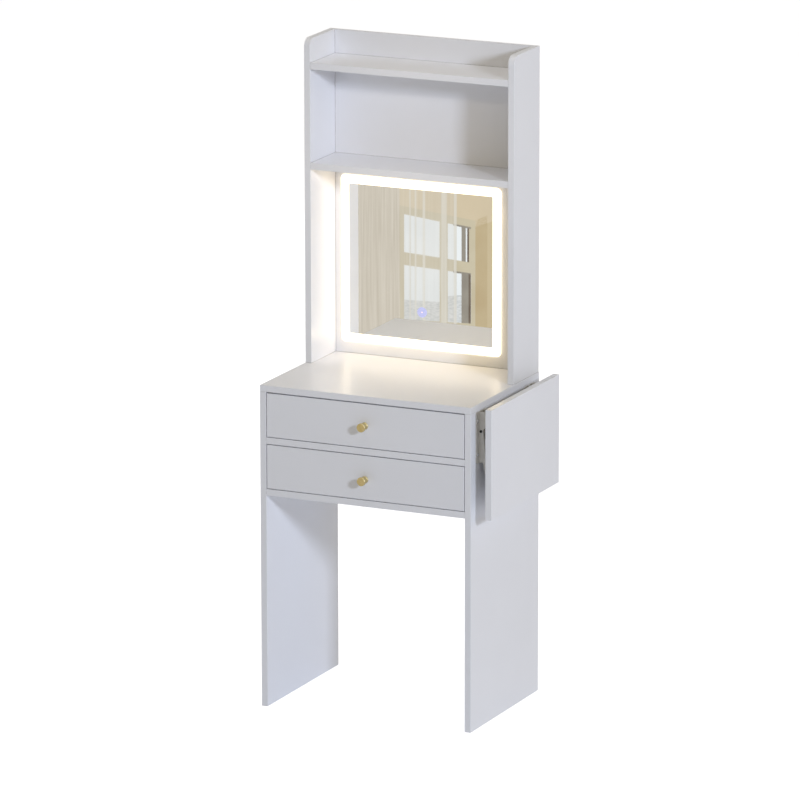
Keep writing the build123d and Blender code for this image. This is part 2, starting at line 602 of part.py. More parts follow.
def make_drawer(name, bay, box_low, runner_z, knob_z, top_gap):
    """All the pieces of one drawer, closed."""
    box_z = (box_low, box_low + BOX_HEIGHT)
    bottom_z = (box_low + BOTTOM_LIFT, box_low + BOTTOM_LIFT + BOTTOM_SHEET)
    groove_x = (-BOX_IN - GROOVE, BOX_IN + GROOVE)
    groove_y = (BOX_FRONT - GROOVE, BOX_REAR - BOARD + GROOVE)
    groove_z = (bottom_z[0] - GROOVE_PLAY / 2, bottom_z[1] + GROOVE_PLAY / 2)
    cams = [CamJoint("front", f"side{side}", (side * (BOX_OUT - BOARD / 2), BOX_FRONT, box_low + up),
                     Y, (-side, 0, 0)) for side in (LEFT, RIGHT) for up in (20, 55)]
    corner_screws = [((side * BOX_OUT, BOX_REAR - BOARD / 2, box_low + up), (side, 0, 0))
                     for side in (LEFT, RIGHT) for up in (17, 62)]
    web = BOX_OUT + RUNNER_SHEET
    slide_screws = [((side * web, y, runner_z), (side, 0, 0))
                    for side in (LEFT, RIGHT) for y in (RUNNER_SCREW_YS[0], RUNNER_SCREW_YS[2])]
    knob_screw = [((0, BOX_FRONT, knob_z), Y)]

    with BuildPart() as front:
        eased_board((-INNER + FRONT_SIDE_GAP, INNER - FRONT_SIDE_GAP), (FRONT, BOX_FRONT),
                    (bay[0] + FRONT_LOW_GAP, bay[1] - top_gap))
        slab(groove_x, groove_y, groove_z, Mode.SUBTRACT)
        cut_cams("front", cams)
        holes([((0, BOX_FRONT, knob_z), Y)], KNOB_SCREW.shank + PLAY, BOARD)
    save(front, f"{name}_drawer_front")

    for side, word in ((LEFT, "left"), (RIGHT, "right")):
        with BuildPart() as box_side:
            eased_board(across(side, BOX_IN, BOX_OUT), (BOX_FRONT, BOX_REAR), box_z)
            slab(groove_x, (BOX_FRONT, groove_y[1]), groove_z, Mode.SUBTRACT)
            cut_cams(f"side{side}", cams)
            cut_screws(BOX_SCREW, corner_screws)
            cut_screws(RUNNER_SCREW, slide_screws)
        save(box_side, f"{name}_drawer_{word}_side")

        with BuildPart() as slide:
            drawer_runner(side, runner_z)
            cut_screws(RUNNER_SCREW, slide_screws)
        save(slide, f"{name}_{word}_drawer_runner")

    with BuildPart() as box_back:
        eased_board((-BOX_IN, BOX_IN), (BOX_REAR - BOARD, BOX_REAR), box_z)
        slab(groove_x, groove_y, groove_z, Mode.SUBTRACT)
        cut_screws(BOX_SCREW, corner_screws)
    save(box_back, f"{name}_drawer_back")

    with BuildPart() as bottom:
        play = GROOVE_PLAY
        slab((groove_x[0] + play, groove_x[1] - play), (groove_y[0] + play, groove_y[1] - play), bottom_z)
    save(bottom, f"{name}_drawer_bottom")

    with BuildPart() as brass_knob:
        knob(knob_z)
    save(brass_knob, f"{name}_drawer_knob")

    with BuildPart() as screws:
        add_screws(BOX_SCREW, corner_screws)
        add_screws(RUNNER_SCREW, slide_screws)
        add_screws(KNOB_SCREW, knob_screw)
    save(screws, f"{name}_drawer_screws")

    with BuildPart() as fittings:
        for joint in cams:
            cam_bolt(joint)
            cam_lock(joint)
    save(fittings, f"{name}_drawer_cam_fittings")


for name, bay, box_low, runner_z, knob_z, top_gap in zip(
        DRAWER_NAMES, BAYS, BOX_LOWS, RUNNER_ZS, KNOB_HEIGHTS, FRONT_TOP_GAPS):
    make_drawer(name, bay, box_low, runner_z, knob_z, top_gap)

# ---- Side leaf and its folding brackets ----
# Each bracket has an arm on the side panel, an arm under the leaf, and a brace between them. The
# brace turns on the wall arm, and its far end runs along a slot in the leaf's arm: folded down it
# is at the slot's outer end, and with the leaf up it drops into the slot's inner end.
LEAF_PIN = 3.0
BRACE_PIN = 2.0
EAR = 7.5
EAR_ROUND = 6.5           # keeps the ear's corner clear of the leaf arm's plate as it swings over
ARM_HALF = 10.2           # half the width over the leaf arm's cheeks
BRACE_HALF = 8.4          # half the width over the brace
ARM_LENGTH = 180.0
ARM_REACH = 16.0          # depth of the leaf arm's cheeks
ARM_TOP = LEAF_PIVOT[1] + 9.0
SLOT_WIDTH = 6.6
RAISED_RUN = (BRACE_LENGTH ** 2 - (LEAF_PIVOT[1] - BRACE_PIVOT[1]) ** 2) ** 0.5
SLOT_IN = RAISED_RUN + BRACE_PIVOT[0] - LEAF_PIVOT[0]
FOLDED_DROP = (BRACE_LENGTH ** 2 - (LEAF_PIVOT[0] - BRACE_PIVOT[0]) ** 2) ** 0.5
SLOT_OUT = LEAF_PIVOT[1] - BRACE_PIVOT[1] + FOLDED_DROP
BRACE_END = (LEAF_PIVOT[0], BRACE_PIVOT[1] - FOLDED_DROP)


def leaf_arm_screws(middle_y):
    places = [(y, z) for y in (middle_y - FLANGE_HOLE, middle_y + FLANGE_HOLE)
              for z in (ARM_TOP - 20, ARM_TOP - ARM_LENGTH + 20)]
    return [((LEAF_IN - SHEET, y, z), flip(X)) for y, z in places]


LEAF_SCREWS = [place for y in (-BRACKET_Y, BRACKET_Y) for place in leaf_arm_screws(y)]


def cheeks(middle_y, half, outline):
    """Two steel cheeks of one outline, half this far either side of the bracket's middle."""
    for y in (middle_y + half, middle_y - half + SHEET):
        with BuildSketch(looking_back(y)) as cheek:
            outline()
        extrude(cheek.sketch, amount=SHEET)


def wall_cheek():
    with BuildLine() as profile:
        Polyline((SIDE, WALL_LOW), (SIDE + 16, WALL_LOW), (SIDE + 16, WALL_LOW + 18),
                 (SIDE + 11, BRACE_PIVOT[1] + 4), (SIDE + 16, BRACE_PIVOT[1] + 9),
                 (LEAF_PIVOT[0] + EAR, LEAF_PIVOT[1] - 4), (LEAF_PIVOT[0] + EAR, WALL_TOP),
                 (SIDE, WALL_TOP), close=True)
    make_face(profile.edges())
    fillet(vertices().group_by(Axis.X)[-1].sort_by(Axis.Y)[0], 3.0)
    fillet(vertices().group_by(Axis.X)[-1].sort_by(Axis.Y)[-1], EAR_ROUND)


def wall_bracket(middle_y):
    slab((SIDE, SIDE + SHEET), (middle_y - FLANGE_HALF, middle_y + FLANGE_HALF), (WALL_LOW, WALL_TOP))
    fillet(edges().filter_by(Axis.X), 4.0)
    cheeks(middle_y, BRACKET_HALF, wall_cheek)
    mouth_y = middle_y + BRACKET_HALF
    holes([((LEAF_PIVOT[0], mouth_y, LEAF_PIVOT[1]), Y)], LEAF_PIN + PLAY, 2 * BRACKET_HALF)
    holes([((BRACE_PIVOT[0], mouth_y, BRACE_PIVOT[1]), Y)], BRACE_PIN + PLAY, 2 * BRACKET_HALF)
    cut_screws(BRACKET_SCREW, WALL_SCREWS)


def arm_cheek():
    low = ARM_TOP - ARM_LENGTH
    with BuildLine() as profile:
        Polyline((LEAF_IN, ARM_TOP - 2), (LEAF_PIVOT[0] - 4, ARM_TOP - 2),
                 (LEAF_IN - ARM_REACH, ARM_TOP - 8), (LEAF_IN - ARM_REACH, low + 22),
                 (LEAF_IN - 6, low + 4), (LEAF_IN, low + 4), close=True)
    make_face(profile.edges())
    fillet(vertices().group_by(Axis.X)[0], 3.0)


def leaf_arm(middle_y):
    slab((LEAF_IN - SHEET, LEAF_IN), (middle_y - FLANGE_HALF, middle_y + FLANGE_HALF),
         (ARM_TOP - ARM_LENGTH, ARM_TOP))
    fillet(edges().filter_by(Axis.X), 4.0)
    cheeks(middle_y, ARM_HALF, arm_cheek)
    mouth_y = middle_y + ARM_HALF
    holes([((LEAF_PIVOT[0], mouth_y, LEAF_PIVOT[1]), Y)], LEAF_PIN + PLAY, 2 * ARM_HALF)
    with BuildSketch(looking_back(mouth_y)) as slot:
        with Locations((LEAF_PIVOT[0], LEAF_PIVOT[1] - (SLOT_IN + SLOT_OUT) / 2)):
            SlotCenterToCenter(SLOT_OUT - SLOT_IN, SLOT_WIDTH, rotation=90)
    extrude(slot.sketch, amount=2 * ARM_HALF, mode=Mode.SUBTRACT)
    cut_screws(BRACKET_SCREW, LEAF_SCREWS)


def brace_outline(shift, grow=0.0):
    """The brace's side view: narrow at its pivot, fuller in the middle, moved sideways by shift."""
    run = (BRACE_END[0] - BRACE_PIVOT[0], BRACE_END[1] - BRACE_PIVOT[1])
    sideways = (run[1] / BRACE_LENGTH * shift, -run[0] / BRACE_LENGTH * shift)
    for part, radius in ((0.0, 4.0), (0.55, 9.0), (1.0, 6.0)):
        with Locations((BRACE_PIVOT[0] + run[0] * part + sideways[0],
                        BRACE_PIVOT[1] + run[1] * part + sideways[1])):
            Circle(radius + grow)
    make_hull()


def brace(middle_y):
    """A channel of steel, open towards the side panel when it is folded down."""
    with BuildSketch(looking_back(middle_y + BRACE_HALF)) as outside:
        brace_outline(0)
    extrude(outside.sketch, amount=2 * BRACE_HALF)
    with BuildSketch(looking_back(middle_y + BRACE_HALF - SHEET)) as inside:
        brace_outline(SHEET)
    extrude(inside.sketch, amount=2 * (BRACE_HALF - SHEET), mode=Mode.SUBTRACT)
    mouth_y = middle_y + BRACE_HALF
    for place, radius in ((BRACE_PIVOT, BRACE_PIN), (BRACE_END, LEAF_PIN)):
        holes([((place[0], mouth_y, place[1]), Y)], radius + PLAY, 2 * BRACE_HALF)


def rivet(place, middle_y, radius, half, head):
    """A pin right across a bracket, with a round head outside each cheek where head is over 0."""
    spans = [(half, 2 * half, radius)]
    if head:
        spans += [(half + head, head, radius * 1.6), (-half, head, radius * 1.6)]
    for start, length, size in spans:
        with BuildSketch(looking_back(middle_y + start)) as disc:
            with Locations(place):
                Circle(size)
        extrude(disc.sketch, amount=length)


for middle_y, word in ((-BRACKET_Y, "front"), (BRACKET_Y, "rear")):
    with BuildPart() as wall_side:
        wall_bracket(middle_y)
    save(wall_side, f"{word}_wall_bracket")
    with BuildPart() as leaf_side:
        leaf_arm(middle_y)
    save(leaf_side, f"{word}_leaf_arm")
    with BuildPart() as link:
        brace(middle_y)
    save(link, f"{word}_brace")

with BuildPart() as bracket_rivets:
    for middle_y in (-BRACKET_Y, BRACKET_Y):
        rivet(LEAF_PIVOT, middle_y, LEAF_PIN, BRACKET_HALF, 1.2)
        rivet(BRACE_PIVOT, middle_y, BRACE_PIN, BRACKET_HALF, 1.0)
save(bracket_rivets, "bracket_rivets")

# The end pin stops between the leaf arm's cheeks, so that it clears the slot while the leaf swings.
for middle_y, word in ((-BRACKET_Y, "front"), (BRACKET_Y, "rear")):
    with BuildPart() as end_pin:
        rivet(BRACE_END, middle_y, LEAF_PIN, BRACE_HALF, 0)
    save(end_pin, f"{word}_brace_pin")

with BuildPart() as side_panel_screws:
    add_screws(RUNNER_SCREW, cabinet_runner_screws(LEFT) + cabinet_runner_screws(RIGHT))
    add_screws(BRACKET_SCREW, WALL_SCREWS)
save(side_panel_screws, "side_panel_screws")

with BuildPart() as leaf_arm_screws_group:
    add_screws(BRACKET_SCREW, LEAF_SCREWS)
save(leaf_arm_screws_group, "leaf_arm_screws")

with BuildPart() as side_leaf:
    eased_board((LEAF_IN, LEAF_OUT), (FRONT, BACK), (LEAF_TOP - LEAF_LENGTH, LEAF_TOP))
    cut_screws(BRACKET_SCREW, LEAF_SCREWS)
save(side_leaf, "side_leaf")

# The figures that the joints use, in the frame of the whole object.
FOLDED_ANGLE = degrees(atan2(BRACE_END[1] - BRACE_PIVOT[1], BRACE_END[0] - BRACE_PIVOT[0]))
RAISED_ANGLE = degrees(atan2(LEAF_PIVOT[1] - BRACE_PIVOT[1], SLOT_IN + LEAF_PIVOT[0] - BRACE_PIVOT[0]))
print("leaf pivot", at(LEAF_PIVOT[0], 0, LEAF_PIVOT[1]))
print("brace pivot", at(BRACE_PIVOT[0], 0, BRACE_PIVOT[1]), "brace turns", RAISED_ANGLE - FOLDED_ANGLE)
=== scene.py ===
import json
import math

import bmesh
import bpy
from mathutils import Matrix, Vector


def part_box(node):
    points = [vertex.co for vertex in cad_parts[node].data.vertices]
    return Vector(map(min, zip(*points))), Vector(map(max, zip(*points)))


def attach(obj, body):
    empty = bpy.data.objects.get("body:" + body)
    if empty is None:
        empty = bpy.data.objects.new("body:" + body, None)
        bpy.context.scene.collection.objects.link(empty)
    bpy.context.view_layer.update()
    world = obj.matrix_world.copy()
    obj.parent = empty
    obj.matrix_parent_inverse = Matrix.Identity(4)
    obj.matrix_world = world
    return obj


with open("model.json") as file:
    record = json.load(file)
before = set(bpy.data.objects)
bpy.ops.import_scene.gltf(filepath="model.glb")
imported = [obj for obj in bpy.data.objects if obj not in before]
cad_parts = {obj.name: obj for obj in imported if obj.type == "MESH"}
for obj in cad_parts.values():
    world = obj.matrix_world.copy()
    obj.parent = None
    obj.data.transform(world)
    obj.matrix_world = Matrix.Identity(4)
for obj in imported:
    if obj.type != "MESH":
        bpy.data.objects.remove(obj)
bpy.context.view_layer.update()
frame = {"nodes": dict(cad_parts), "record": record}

DESK_LOW, DESK_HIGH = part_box("desk_top")
AXIS_X = (DESK_LOW.x + DESK_HIGH.x) / 2          # the carcass's own middle
AXIS_Y = (DESK_LOW.y + DESK_HIGH.y) / 2


# ---- Camera ----
CAMERA_AZIMUTH = math.radians(24.89)
CAMERA_ELEVATION = math.radians(13.90)
CAMERA_DISTANCE = 15.33
CAMERA_TARGET = Vector((AXIS_X, AXIS_Y, 0.6995))
CAMERA_LENS = 305.9
CAMERA_SENSOR = 36.0
CAMERA_REACH = 60.0
CAMERA_ROLL = math.radians(-0.09)


def direction(azimuth, elevation):
    """From the object towards a place at this azimuth, 0 in front and 90 at +X, and elevation."""
    return Vector((math.sin(azimuth) * math.cos(elevation), -math.cos(azimuth) * math.cos(elevation),
                   math.sin(elevation)))


def make_camera():
    data = bpy.data.cameras.new("camera")
    data.lens = CAMERA_LENS
    data.sensor_width = CAMERA_SENSOR
    data.clip_end = CAMERA_REACH
    camera = bpy.data.objects.new("camera", data)
    back = direction(CAMERA_AZIMUTH, CAMERA_ELEVATION)
    turn = back.to_track_quat("Z", "Y").to_matrix().to_4x4()
    camera.matrix_world = (Matrix.Translation(CAMERA_TARGET + back * CAMERA_DISTANCE) @ turn
                           @ Matrix.Rotation(CAMERA_ROLL, 4, "Z"))
    bpy.context.scene.collection.objects.link(camera)
    bpy.context.scene.camera = camera


# ---- Material helpers ----
class Tree:
    """A node material with the object's own coordinates at hand."""

    def __init__(self, name, color, roughness, metallic=0.0):
        self.material = bpy.data.materials.new(name)
        self.material.use_nodes = True
        self.nodes = self.material.node_tree.nodes
        self.links = self.material.node_tree.links
        self.shader = self.nodes["Principled BSDF"]
        self.shader.inputs["Base Color"].default_value = (*color, 1)
        self.shader.inputs["Roughness"].default_value = roughness
        self.shader.inputs["Metallic"].default_value = metallic
        self.place = self.nodes.new("ShaderNodeTexCoord").outputs["Object"]

    def add(self, kind, inputs=(), **settings):
        made = self.nodes.new(kind)
        for name, value in settings.items():
            setattr(made, name, value)
        for name, value in dict(inputs).items():
            if isinstance(value, bpy.types.NodeSocket):
                self.links.new(value, made.inputs[name])
            else:
                made.inputs[name].default_value = value
        return made

    def noise(self, scale, detail=3.0, roughness=0.5, stretch=(1, 1, 1)):
        """Noise over the object. Scale is in cycles a metre."""
        mapping = self.add("ShaderNodeMapping", {"Vector": self.place, "Scale": stretch})
        made = self.add("ShaderNodeTexNoise", {"Vector": mapping.outputs["Vector"], "Scale": scale,
                                               "Detail": detail, "Roughness": roughness})
        return made.outputs["Fac"]

    def ramp(self, value, low, high, start=0.3, end=0.7):
        """Colour between low and high as value goes from start to end."""
        made = self.add("ShaderNodeValToRGB", {"Fac": value})
        made.color_ramp.elements[0].position = start
        made.color_ramp.elements[1].position = end
        made.color_ramp.elements[0].color = (*low, 1)
        made.color_ramp.elements[1].color = (*high, 1)
        return made.outputs["Color"]

    def spread(self, value, low, high):
        """A number between low and high for most of a noise's range."""
        made = self.add("ShaderNodeMapRange", {"Value": value, "From Min": 0.3, "From Max": 0.7,
                                               "To Min": low, "To Max": high})
        return made.outputs["Result"]

    def corners(self, color, reach, tint):
        """Paints shade into the colour where another surface stands closer than reach, as in an inner
        corner; tint is the colour of this painted shade.
        """
        near = self.add("ShaderNodeAmbientOcclusion", {"Distance": reach}, samples=4)
        shade = self.ramp(near.outputs["AO"], tint, (1, 1, 1), 0.5, 0.95)
        return self.add("ShaderNodeVectorMath", {0: color, 1: shade}, operation="MULTIPLY").outputs["Vector"]

    def bump(self, height, depth, strength=1.0, under=None):
        """A bump this deep, in metres, on the shader. Under is a bump that it adds to."""
        made = self.add("ShaderNodeBump", {"Height": height, "Distance": depth, "Strength": strength})
        if under:
            self.links.new(under.outputs["Normal"], made.inputs["Normal"])
        self.links.new(made.outputs["Normal"], self.shader.inputs["Normal"])
        return made

    def color(self, socket):
        self.links.new(socket, self.shader.inputs["Base Color"])

    def rough(self, socket):
        self.links.new(socket, self.shader.inputs["Roughness"])

    def glow(self, color, strength):
        self.shader.inputs["Emission Color"].default_value = (*color, 1)
        self.shader.inputs["Emission Strength"].default_value = strength


# ---- Materials ----
BAND_SEEN = (1.0, 0.84, 0.59)
BAND_STRENGTH = 2.0
CORNER_SHADE_REACH = 0.0015     # how far from a joint its line of painted shade fades out
# colour of the painted shade in the joints and inner corners
CORNER_SHADE_TINT = (0.60, 0.58, 0.55)


def laminate():
    """White satin melamine: a faint pearl grain, a slow waviness, and painted shade as dark lines in the
    joints and inner corners.
    """
    tree = Tree("white_laminate", (0.865, 0.87, 0.90), 0.36)
    tone = tree.noise(5.0, detail=4)
    clean = tree.ramp(tone, (0.855, 0.860, 0.890), (0.875, 0.880, 0.910))
    # painted shade: the colour darkens in the joints and inner corners
    tree.color(tree.corners(clean, CORNER_SHADE_REACH, CORNER_SHADE_TINT))
    tree.rough(tree.spread(tree.noise(150.0), 0.285, 0.320))
    wave = tree.bump(tree.noise(14.0, detail=1), 0.0002, 0.2)
    tree.bump(tree.noise(1500.0, detail=2), 0.00006, 0.5, under=wave)
    tree.shader.inputs["Specular IOR Level"].default_value = 0.45
    return tree.material


def hardboard():
    """The thin drawer bottom: white foil over fine fibres."""
    tree = Tree("white_sheet", (0.74, 0.74, 0.74), 0.5)
    fibres = tree.noise(500.0, detail=5, stretch=(1, 0.15, 1))
    tree.color(tree.ramp(fibres, (0.72, 0.72, 0.72), (0.77, 0.77, 0.76)))
    tree.rough(tree.spread(tree.noise(40.0), 0.45, 0.6))
    tree.bump(fibres, 0.00008, 0.5)
    return tree.material


def brass():
    """Satin brass with the fine rings that turning leaves."""
    tree = Tree("brushed_brass", (0.64, 0.54, 0.28), 0.45, metallic=1.0)
    tone = tree.noise(160.0, detail=3)
    tree.color(tree.ramp(tone, (0.60, 0.50, 0.24), (0.68, 0.58, 0.32)))
    tree.rough(tree.spread(tree.noise(900.0, detail=2), 0.42, 0.50))
    tree.bump(tree.noise(2600.0, detail=2, stretch=(1, 0.2, 1)), 0.00003, 0.6)
    return tree.material


def silvered_glass():
    """The mirror: clean, with the faintest breath of dust."""
    tree = Tree("mirror_glass", (0.92, 0.93, 0.92), 0.01, metallic=1.0)
    dust = tree.noise(12.0, detail=6, roughness=0.6)
    tree.color(tree.ramp(dust, (0.90, 0.91, 0.90), (0.93, 0.94, 0.93)))
    tree.rough(tree.spread(dust, 0.004, 0.02))
    return tree.material


def diffuser():
    """The milky band, lit from behind by the tape."""
    tree = Tree("light_band", (0.93, 0.92, 0.88), 0.35)
    tree.rough(tree.spread(tree.noise(600.0), 0.3, 0.42))
    tree.bump(tree.noise(900.0, detail=2), 0.00004, 0.4)
    tree.glow(BAND_SEEN, BAND_STRENGTH)
    return tree.material


def metal(name, dark, light, roughness, grain=(1, 1, 1)):
    """Plated or brushed steel. Grain squeezes the noise along the brushing."""
    tree = Tree(name, light, roughness, metallic=1.0)
    brushed = tree.noise(900.0, detail=4, stretch=grain)
    tree.color(tree.ramp(brushed, dark, light))
    tree.rough(tree.spread(tree.noise(250.0, detail=3, stretch=grain), roughness - 0.07, roughness + 0.09))
    tree.bump(brushed, 0.00003, 0.5)
    return tree.material


def enamel(name, dark, light, roughness=0.42):
    """Stoved paint on pressed steel, with its orange peel."""
    tree = Tree(name, light, roughness)
    tree.color(tree.ramp(tree.noise(90.0, detail=4), dark, light))
    tree.rough(tree.spread(tree.noise(300.0), roughness - 0.06, roughness + 0.08))
    tree.bump(tree.noise(1100.0, detail=1), 0.00006, 0.6)
    return tree.material


def plastic(name, dark, light, roughness=0.5):
    """Moulded plastic with a spark-eroded texture."""
    tree = Tree(name, light, roughness)
    tree.color(tree.ramp(tree.noise(120.0, detail=3), dark, light))
    tree.rough(tree.spread(tree.noise(700.0), roughness - 0.08, roughness + 0.08))
    tree.bump(tree.noise(2200.0, detail=2), 0.00005, 0.7)
    return tree.material


def beech():
    """Bare turned beech."""
    tree = Tree("beech_dowel", (0.66, 0.47, 0.30), 0.6)
    grain = tree.noise(300.0, detail=5, stretch=(1, 1, 0.1))
    tree.color(tree.ramp(grain, (0.52, 0.35, 0.20), (0.70, 0.52, 0.34)))
    tree.rough(tree.spread(grain, 0.5, 0.7))
    tree.bump(grain, 0.0001, 0.6)
    return tree.material


def dress_nodes():
    """Gives every CAD node the finished material of its record slot."""
    materials = {
        "white_laminate": laminate(),
        "white_sheet": hardboard(),
        "brushed_brass": brass(),
        "mirror_glass": silvered_glass(),
        "light_band": diffuser(),
        "led_tape": plastic("led_tape", (0.80, 0.80, 0.72), (0.88, 0.88, 0.80), 0.4),
        "sensor_plastic": plastic("sensor_plastic", (0.015, 0.015, 0.018), (0.03, 0.03, 0.035)),
        "white_plastic": plastic("white_plastic", (0.70, 0.70, 0.71), (0.78, 0.78, 0.79)),
        "black_plastic": plastic("black_plastic", (0.01, 0.01, 0.01), (0.025, 0.025, 0.025)),
        "zinc_steel": metal("zinc_steel", (0.50, 0.51, 0.53), (0.66, 0.67, 0.70), 0.32),
        "beech_dowel": beech(),
        "dark_rivet": enamel("dark_rivet", (0.012, 0.012, 0.012), (0.03, 0.03, 0.03), 0.35),
        "bracket_paint": enamel("bracket_paint", (0.68, 0.665, 0.63), (0.74, 0.725, 0.69)),
        "runner_steel": metal("runner_steel", (0.55, 0.56, 0.58), (0.70, 0.71, 0.73), 0.28, (1, 0.05, 1)),
    }
    slots = {entry["node"]: entry["material_slot"] for entry in frame["record"]["subparts"]}
    for name, node in frame["nodes"].items():
        node.data.materials.clear()
        node.data.materials.append(materials[slots[name]])


# ---- The touch switch's lit spot on the mirror ----
SWITCH_DROP = 0.005       # from the middle of the switch's module down to its sensor
SPOT_RADIUS = 0.012
SPOT_EDGE = 0.0001        # how far its edge, its shoulder and its middle stand out from the glass
SPOT_SHOULDER = 0.00022
SPOT_HEIGHT = 0.00025
SPOT_ROUNDING = 0.0004    # from its edge in to its shoulder
DOT_RADIUS = 0.0016
DOT_FOOT = 0.0001         # how far in front of the glass it starts
DOT_EDGE = 0.0003
DOT_HEIGHT = 0.0004


def turned(name, profile, place, facing, steps):
    """A solid of revolution. The profile is (radius, height) points, height along facing."""
    mesh = bpy.data.meshes.new(name)
    form = bmesh.new()
    rings = []
    for radius, height in profile:
        if radius == 0:
            rings.append([form.verts.new((0, 0, height))])
            continue
        turns = [2 * math.pi * step / steps for step in range(steps)]
        rings.append([form.verts.new((radius * math.cos(turn), radius * math.sin(turn), height))
                      for turn in turns])
    for low, high in zip(rings, rings[1:]):
        for step in range(steps):
            after = (step + 1) % steps
            corners = [low[step % len(low)], low[after % len(low)], high[after % len(high)],
                       high[step % len(high)]]
            form.faces.new(list(dict.fromkeys(corners)))
    bmesh.ops.recalc_face_normals(form, faces=form.faces)
    form.to_mesh(mesh)
    form.free()
    mesh.polygons.foreach_set("use_smooth", [True] * len(mesh.polygons))
    mesh.set_sharp_from_angle(angle=math.radians(40))
    piece = bpy.data.objects.new(name, mesh)
    turn = Vector(facing).to_track_quat("Z", "Y").to_matrix().to_4x4()
    mesh.transform(Matrix.Translation(place) @ turn)
    bpy.context.scene.collection.objects.link(piece)
    return piece


def lit_disc(name, profile, place, steps, color, glow, strength):
    """A small lit piece on the mirror's face."""
    piece = turned(name, profile, place, (0, -1, 0), steps)
    tree = Tree(name, color, 0.3)
    tree.glow(glow, strength)
    tree.rough(tree.spread(tree.noise(400.0), 0.25, 0.4))
    piece.data.materials.append(tree.material)
    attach(piece, "carcass")


def make_switch_spot():
    module_low, module_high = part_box("touch_sensor")
    glass_low, glass_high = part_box("mirror_glass")
    middle = (module_low + module_high) / 2
    place = Vector((middle.x, glass_low.y, middle.z - SWITCH_DROP))
    spot = [(0, 0), (SPOT_RADIUS, 0), (SPOT_RADIUS, SPOT_EDGE),
            (SPOT_RADIUS - SPOT_ROUNDING, SPOT_SHOULDER), (0, SPOT_HEIGHT)]
    lit_disc("switch_spot", spot, place, 64, color=(0.25, 0.27, 0.42), glow=(0.60, 0.62, 1.0), strength=0.62)
    dot = [(0, 0), (DOT_RADIUS, 0), (DOT_RADIUS, DOT_EDGE), (0, DOT_HEIGHT)]
    lit_disc("switch_dot", dot, place - Vector((0, DOT_FOOT, 0)), 24, color=(0.8, 0.6, 0.6),
             glow=(1.0, 0.70, 0.62), strength=0.8)


# ---- Studio ----
FLOOR_REACH = 12.0
FLOOR_TONE = (0.60, 0.60, 0.60)
FLOOR_GLOW = (0.27, 0.29, 0.35)    # a light table: it softens what is lit from below
FLOOR_SEEN = (0.88, 0.88, 0.91)    # shown only to the camera, so that the floor meets the background


def make_floor():
    """A plain pale disc."""
    mesh = bpy.data.meshes.new("floor")
    form = bmesh.new()
    bmesh.ops.create_circle(form, cap_ends=True, segments=96, radius=FLOOR_REACH)
    form.to_mesh(mesh)
    form.free()
    floor = bpy.data.objects.new("floor", mesh)
    bpy.context.scene.collection.objects.link(floor)
    tree = Tree("floor", FLOOR_TONE, 0.7)
    tree.rough(tree.spread(tree.noise(30.0), 0.6, 0.8))
    tree.shader.inputs["Specular IOR Level"].default_value = 0.1
    seen = tree.add("ShaderNodeLightPath").outputs["Is Camera Ray"]
    tree.links.new(tree.ramp(seen, FLOOR_GLOW, FLOOR_SEEN), tree.shader.inputs["Emission Color"])
    tree.shader.inputs["Emission Strength"].default_value = 1.0
    floor.data.materials.append(tree.material)


WORLD_LIGHT = 0.185
WORLD_TINT = (1.0, 0.87, 0.52)
WORLD_IN_MIRRORS = 0.50
WORLD_SEEN = 1.05


def make_world():
    """White all round: plain to the camera, paler in reflections, and a soft warm light on the object."""
    world = bpy.data.worlds.new("studio")
    world.use_nodes = True
    nodes, links = world.node_tree.nodes, world.node_tree.links
    path = nodes.new("ShaderNodeLightPath")
    shown = nodes["Background"]
    shown.inputs["Color"].default_value = (*WORLD_TINT, 1)
    shown.inputs["Strength"].default_value = WORLD_LIGHT
    for kind, strength in (("Is Glossy Ray", WORLD_IN_MIRRORS), ("Is Camera Ray", WORLD_SEEN)):
        plain = nodes.new("ShaderNodeBackground")
        plain.inputs["Color"].default_value = (1, 1, 1, 1)
        plain.inputs["Strength"].default_value = strength
        mix = nodes.new("ShaderNodeMixShader")
        links.new(path.outputs[kind], mix.inputs[0])
        links.new(shown.outputs[0], mix.inputs[1])
        links.new(plain.outputs[0], mix.inputs[2])
        shown = mix
    links.new(shown.outputs[0], nodes["World Output"].inputs["Surface"])
    bpy.context.scene.world = world


LAMP_HEIGHT = 0.7         # what a lamp is aimed at, unless it has a height of its own
BAY_HEIGHT = 1.27
DESK_HEIGHT = 0.75


def add_lamp(name, azimuth, elevation, distance, size, power, color, height=LAMP_HEIGHT, cone=None):
    """A square soft box that faces the object, or a spotlight with a cone this many degrees wide.

    Its azimuth and elevation are in degrees, as in direction, and its distance is from what it is aimed at.
    """
    data = bpy.data.lights.new(name, "SPOT" if cone else "AREA")
    if cone:
        data.shadow_soft_size = size / 2
        data.spot_size = math.radians(cone)
        data.spot_blend = 1.0
    else:
        data.size = size
    data.energy = power
    data.color = color
    lamp = bpy.data.objects.new(name, data)
    facing = direction(math.radians(azimuth), math.radians(elevation))
    place = Vector((AXIS_X, AXIS_Y, height)) + facing * distance
    lamp.matrix_world = Matrix.Translation(place) @ facing.to_track_quat("Z", "Y").to_matrix().to_4x4()
    bpy.context.scene.collection.objects.link(lamp)


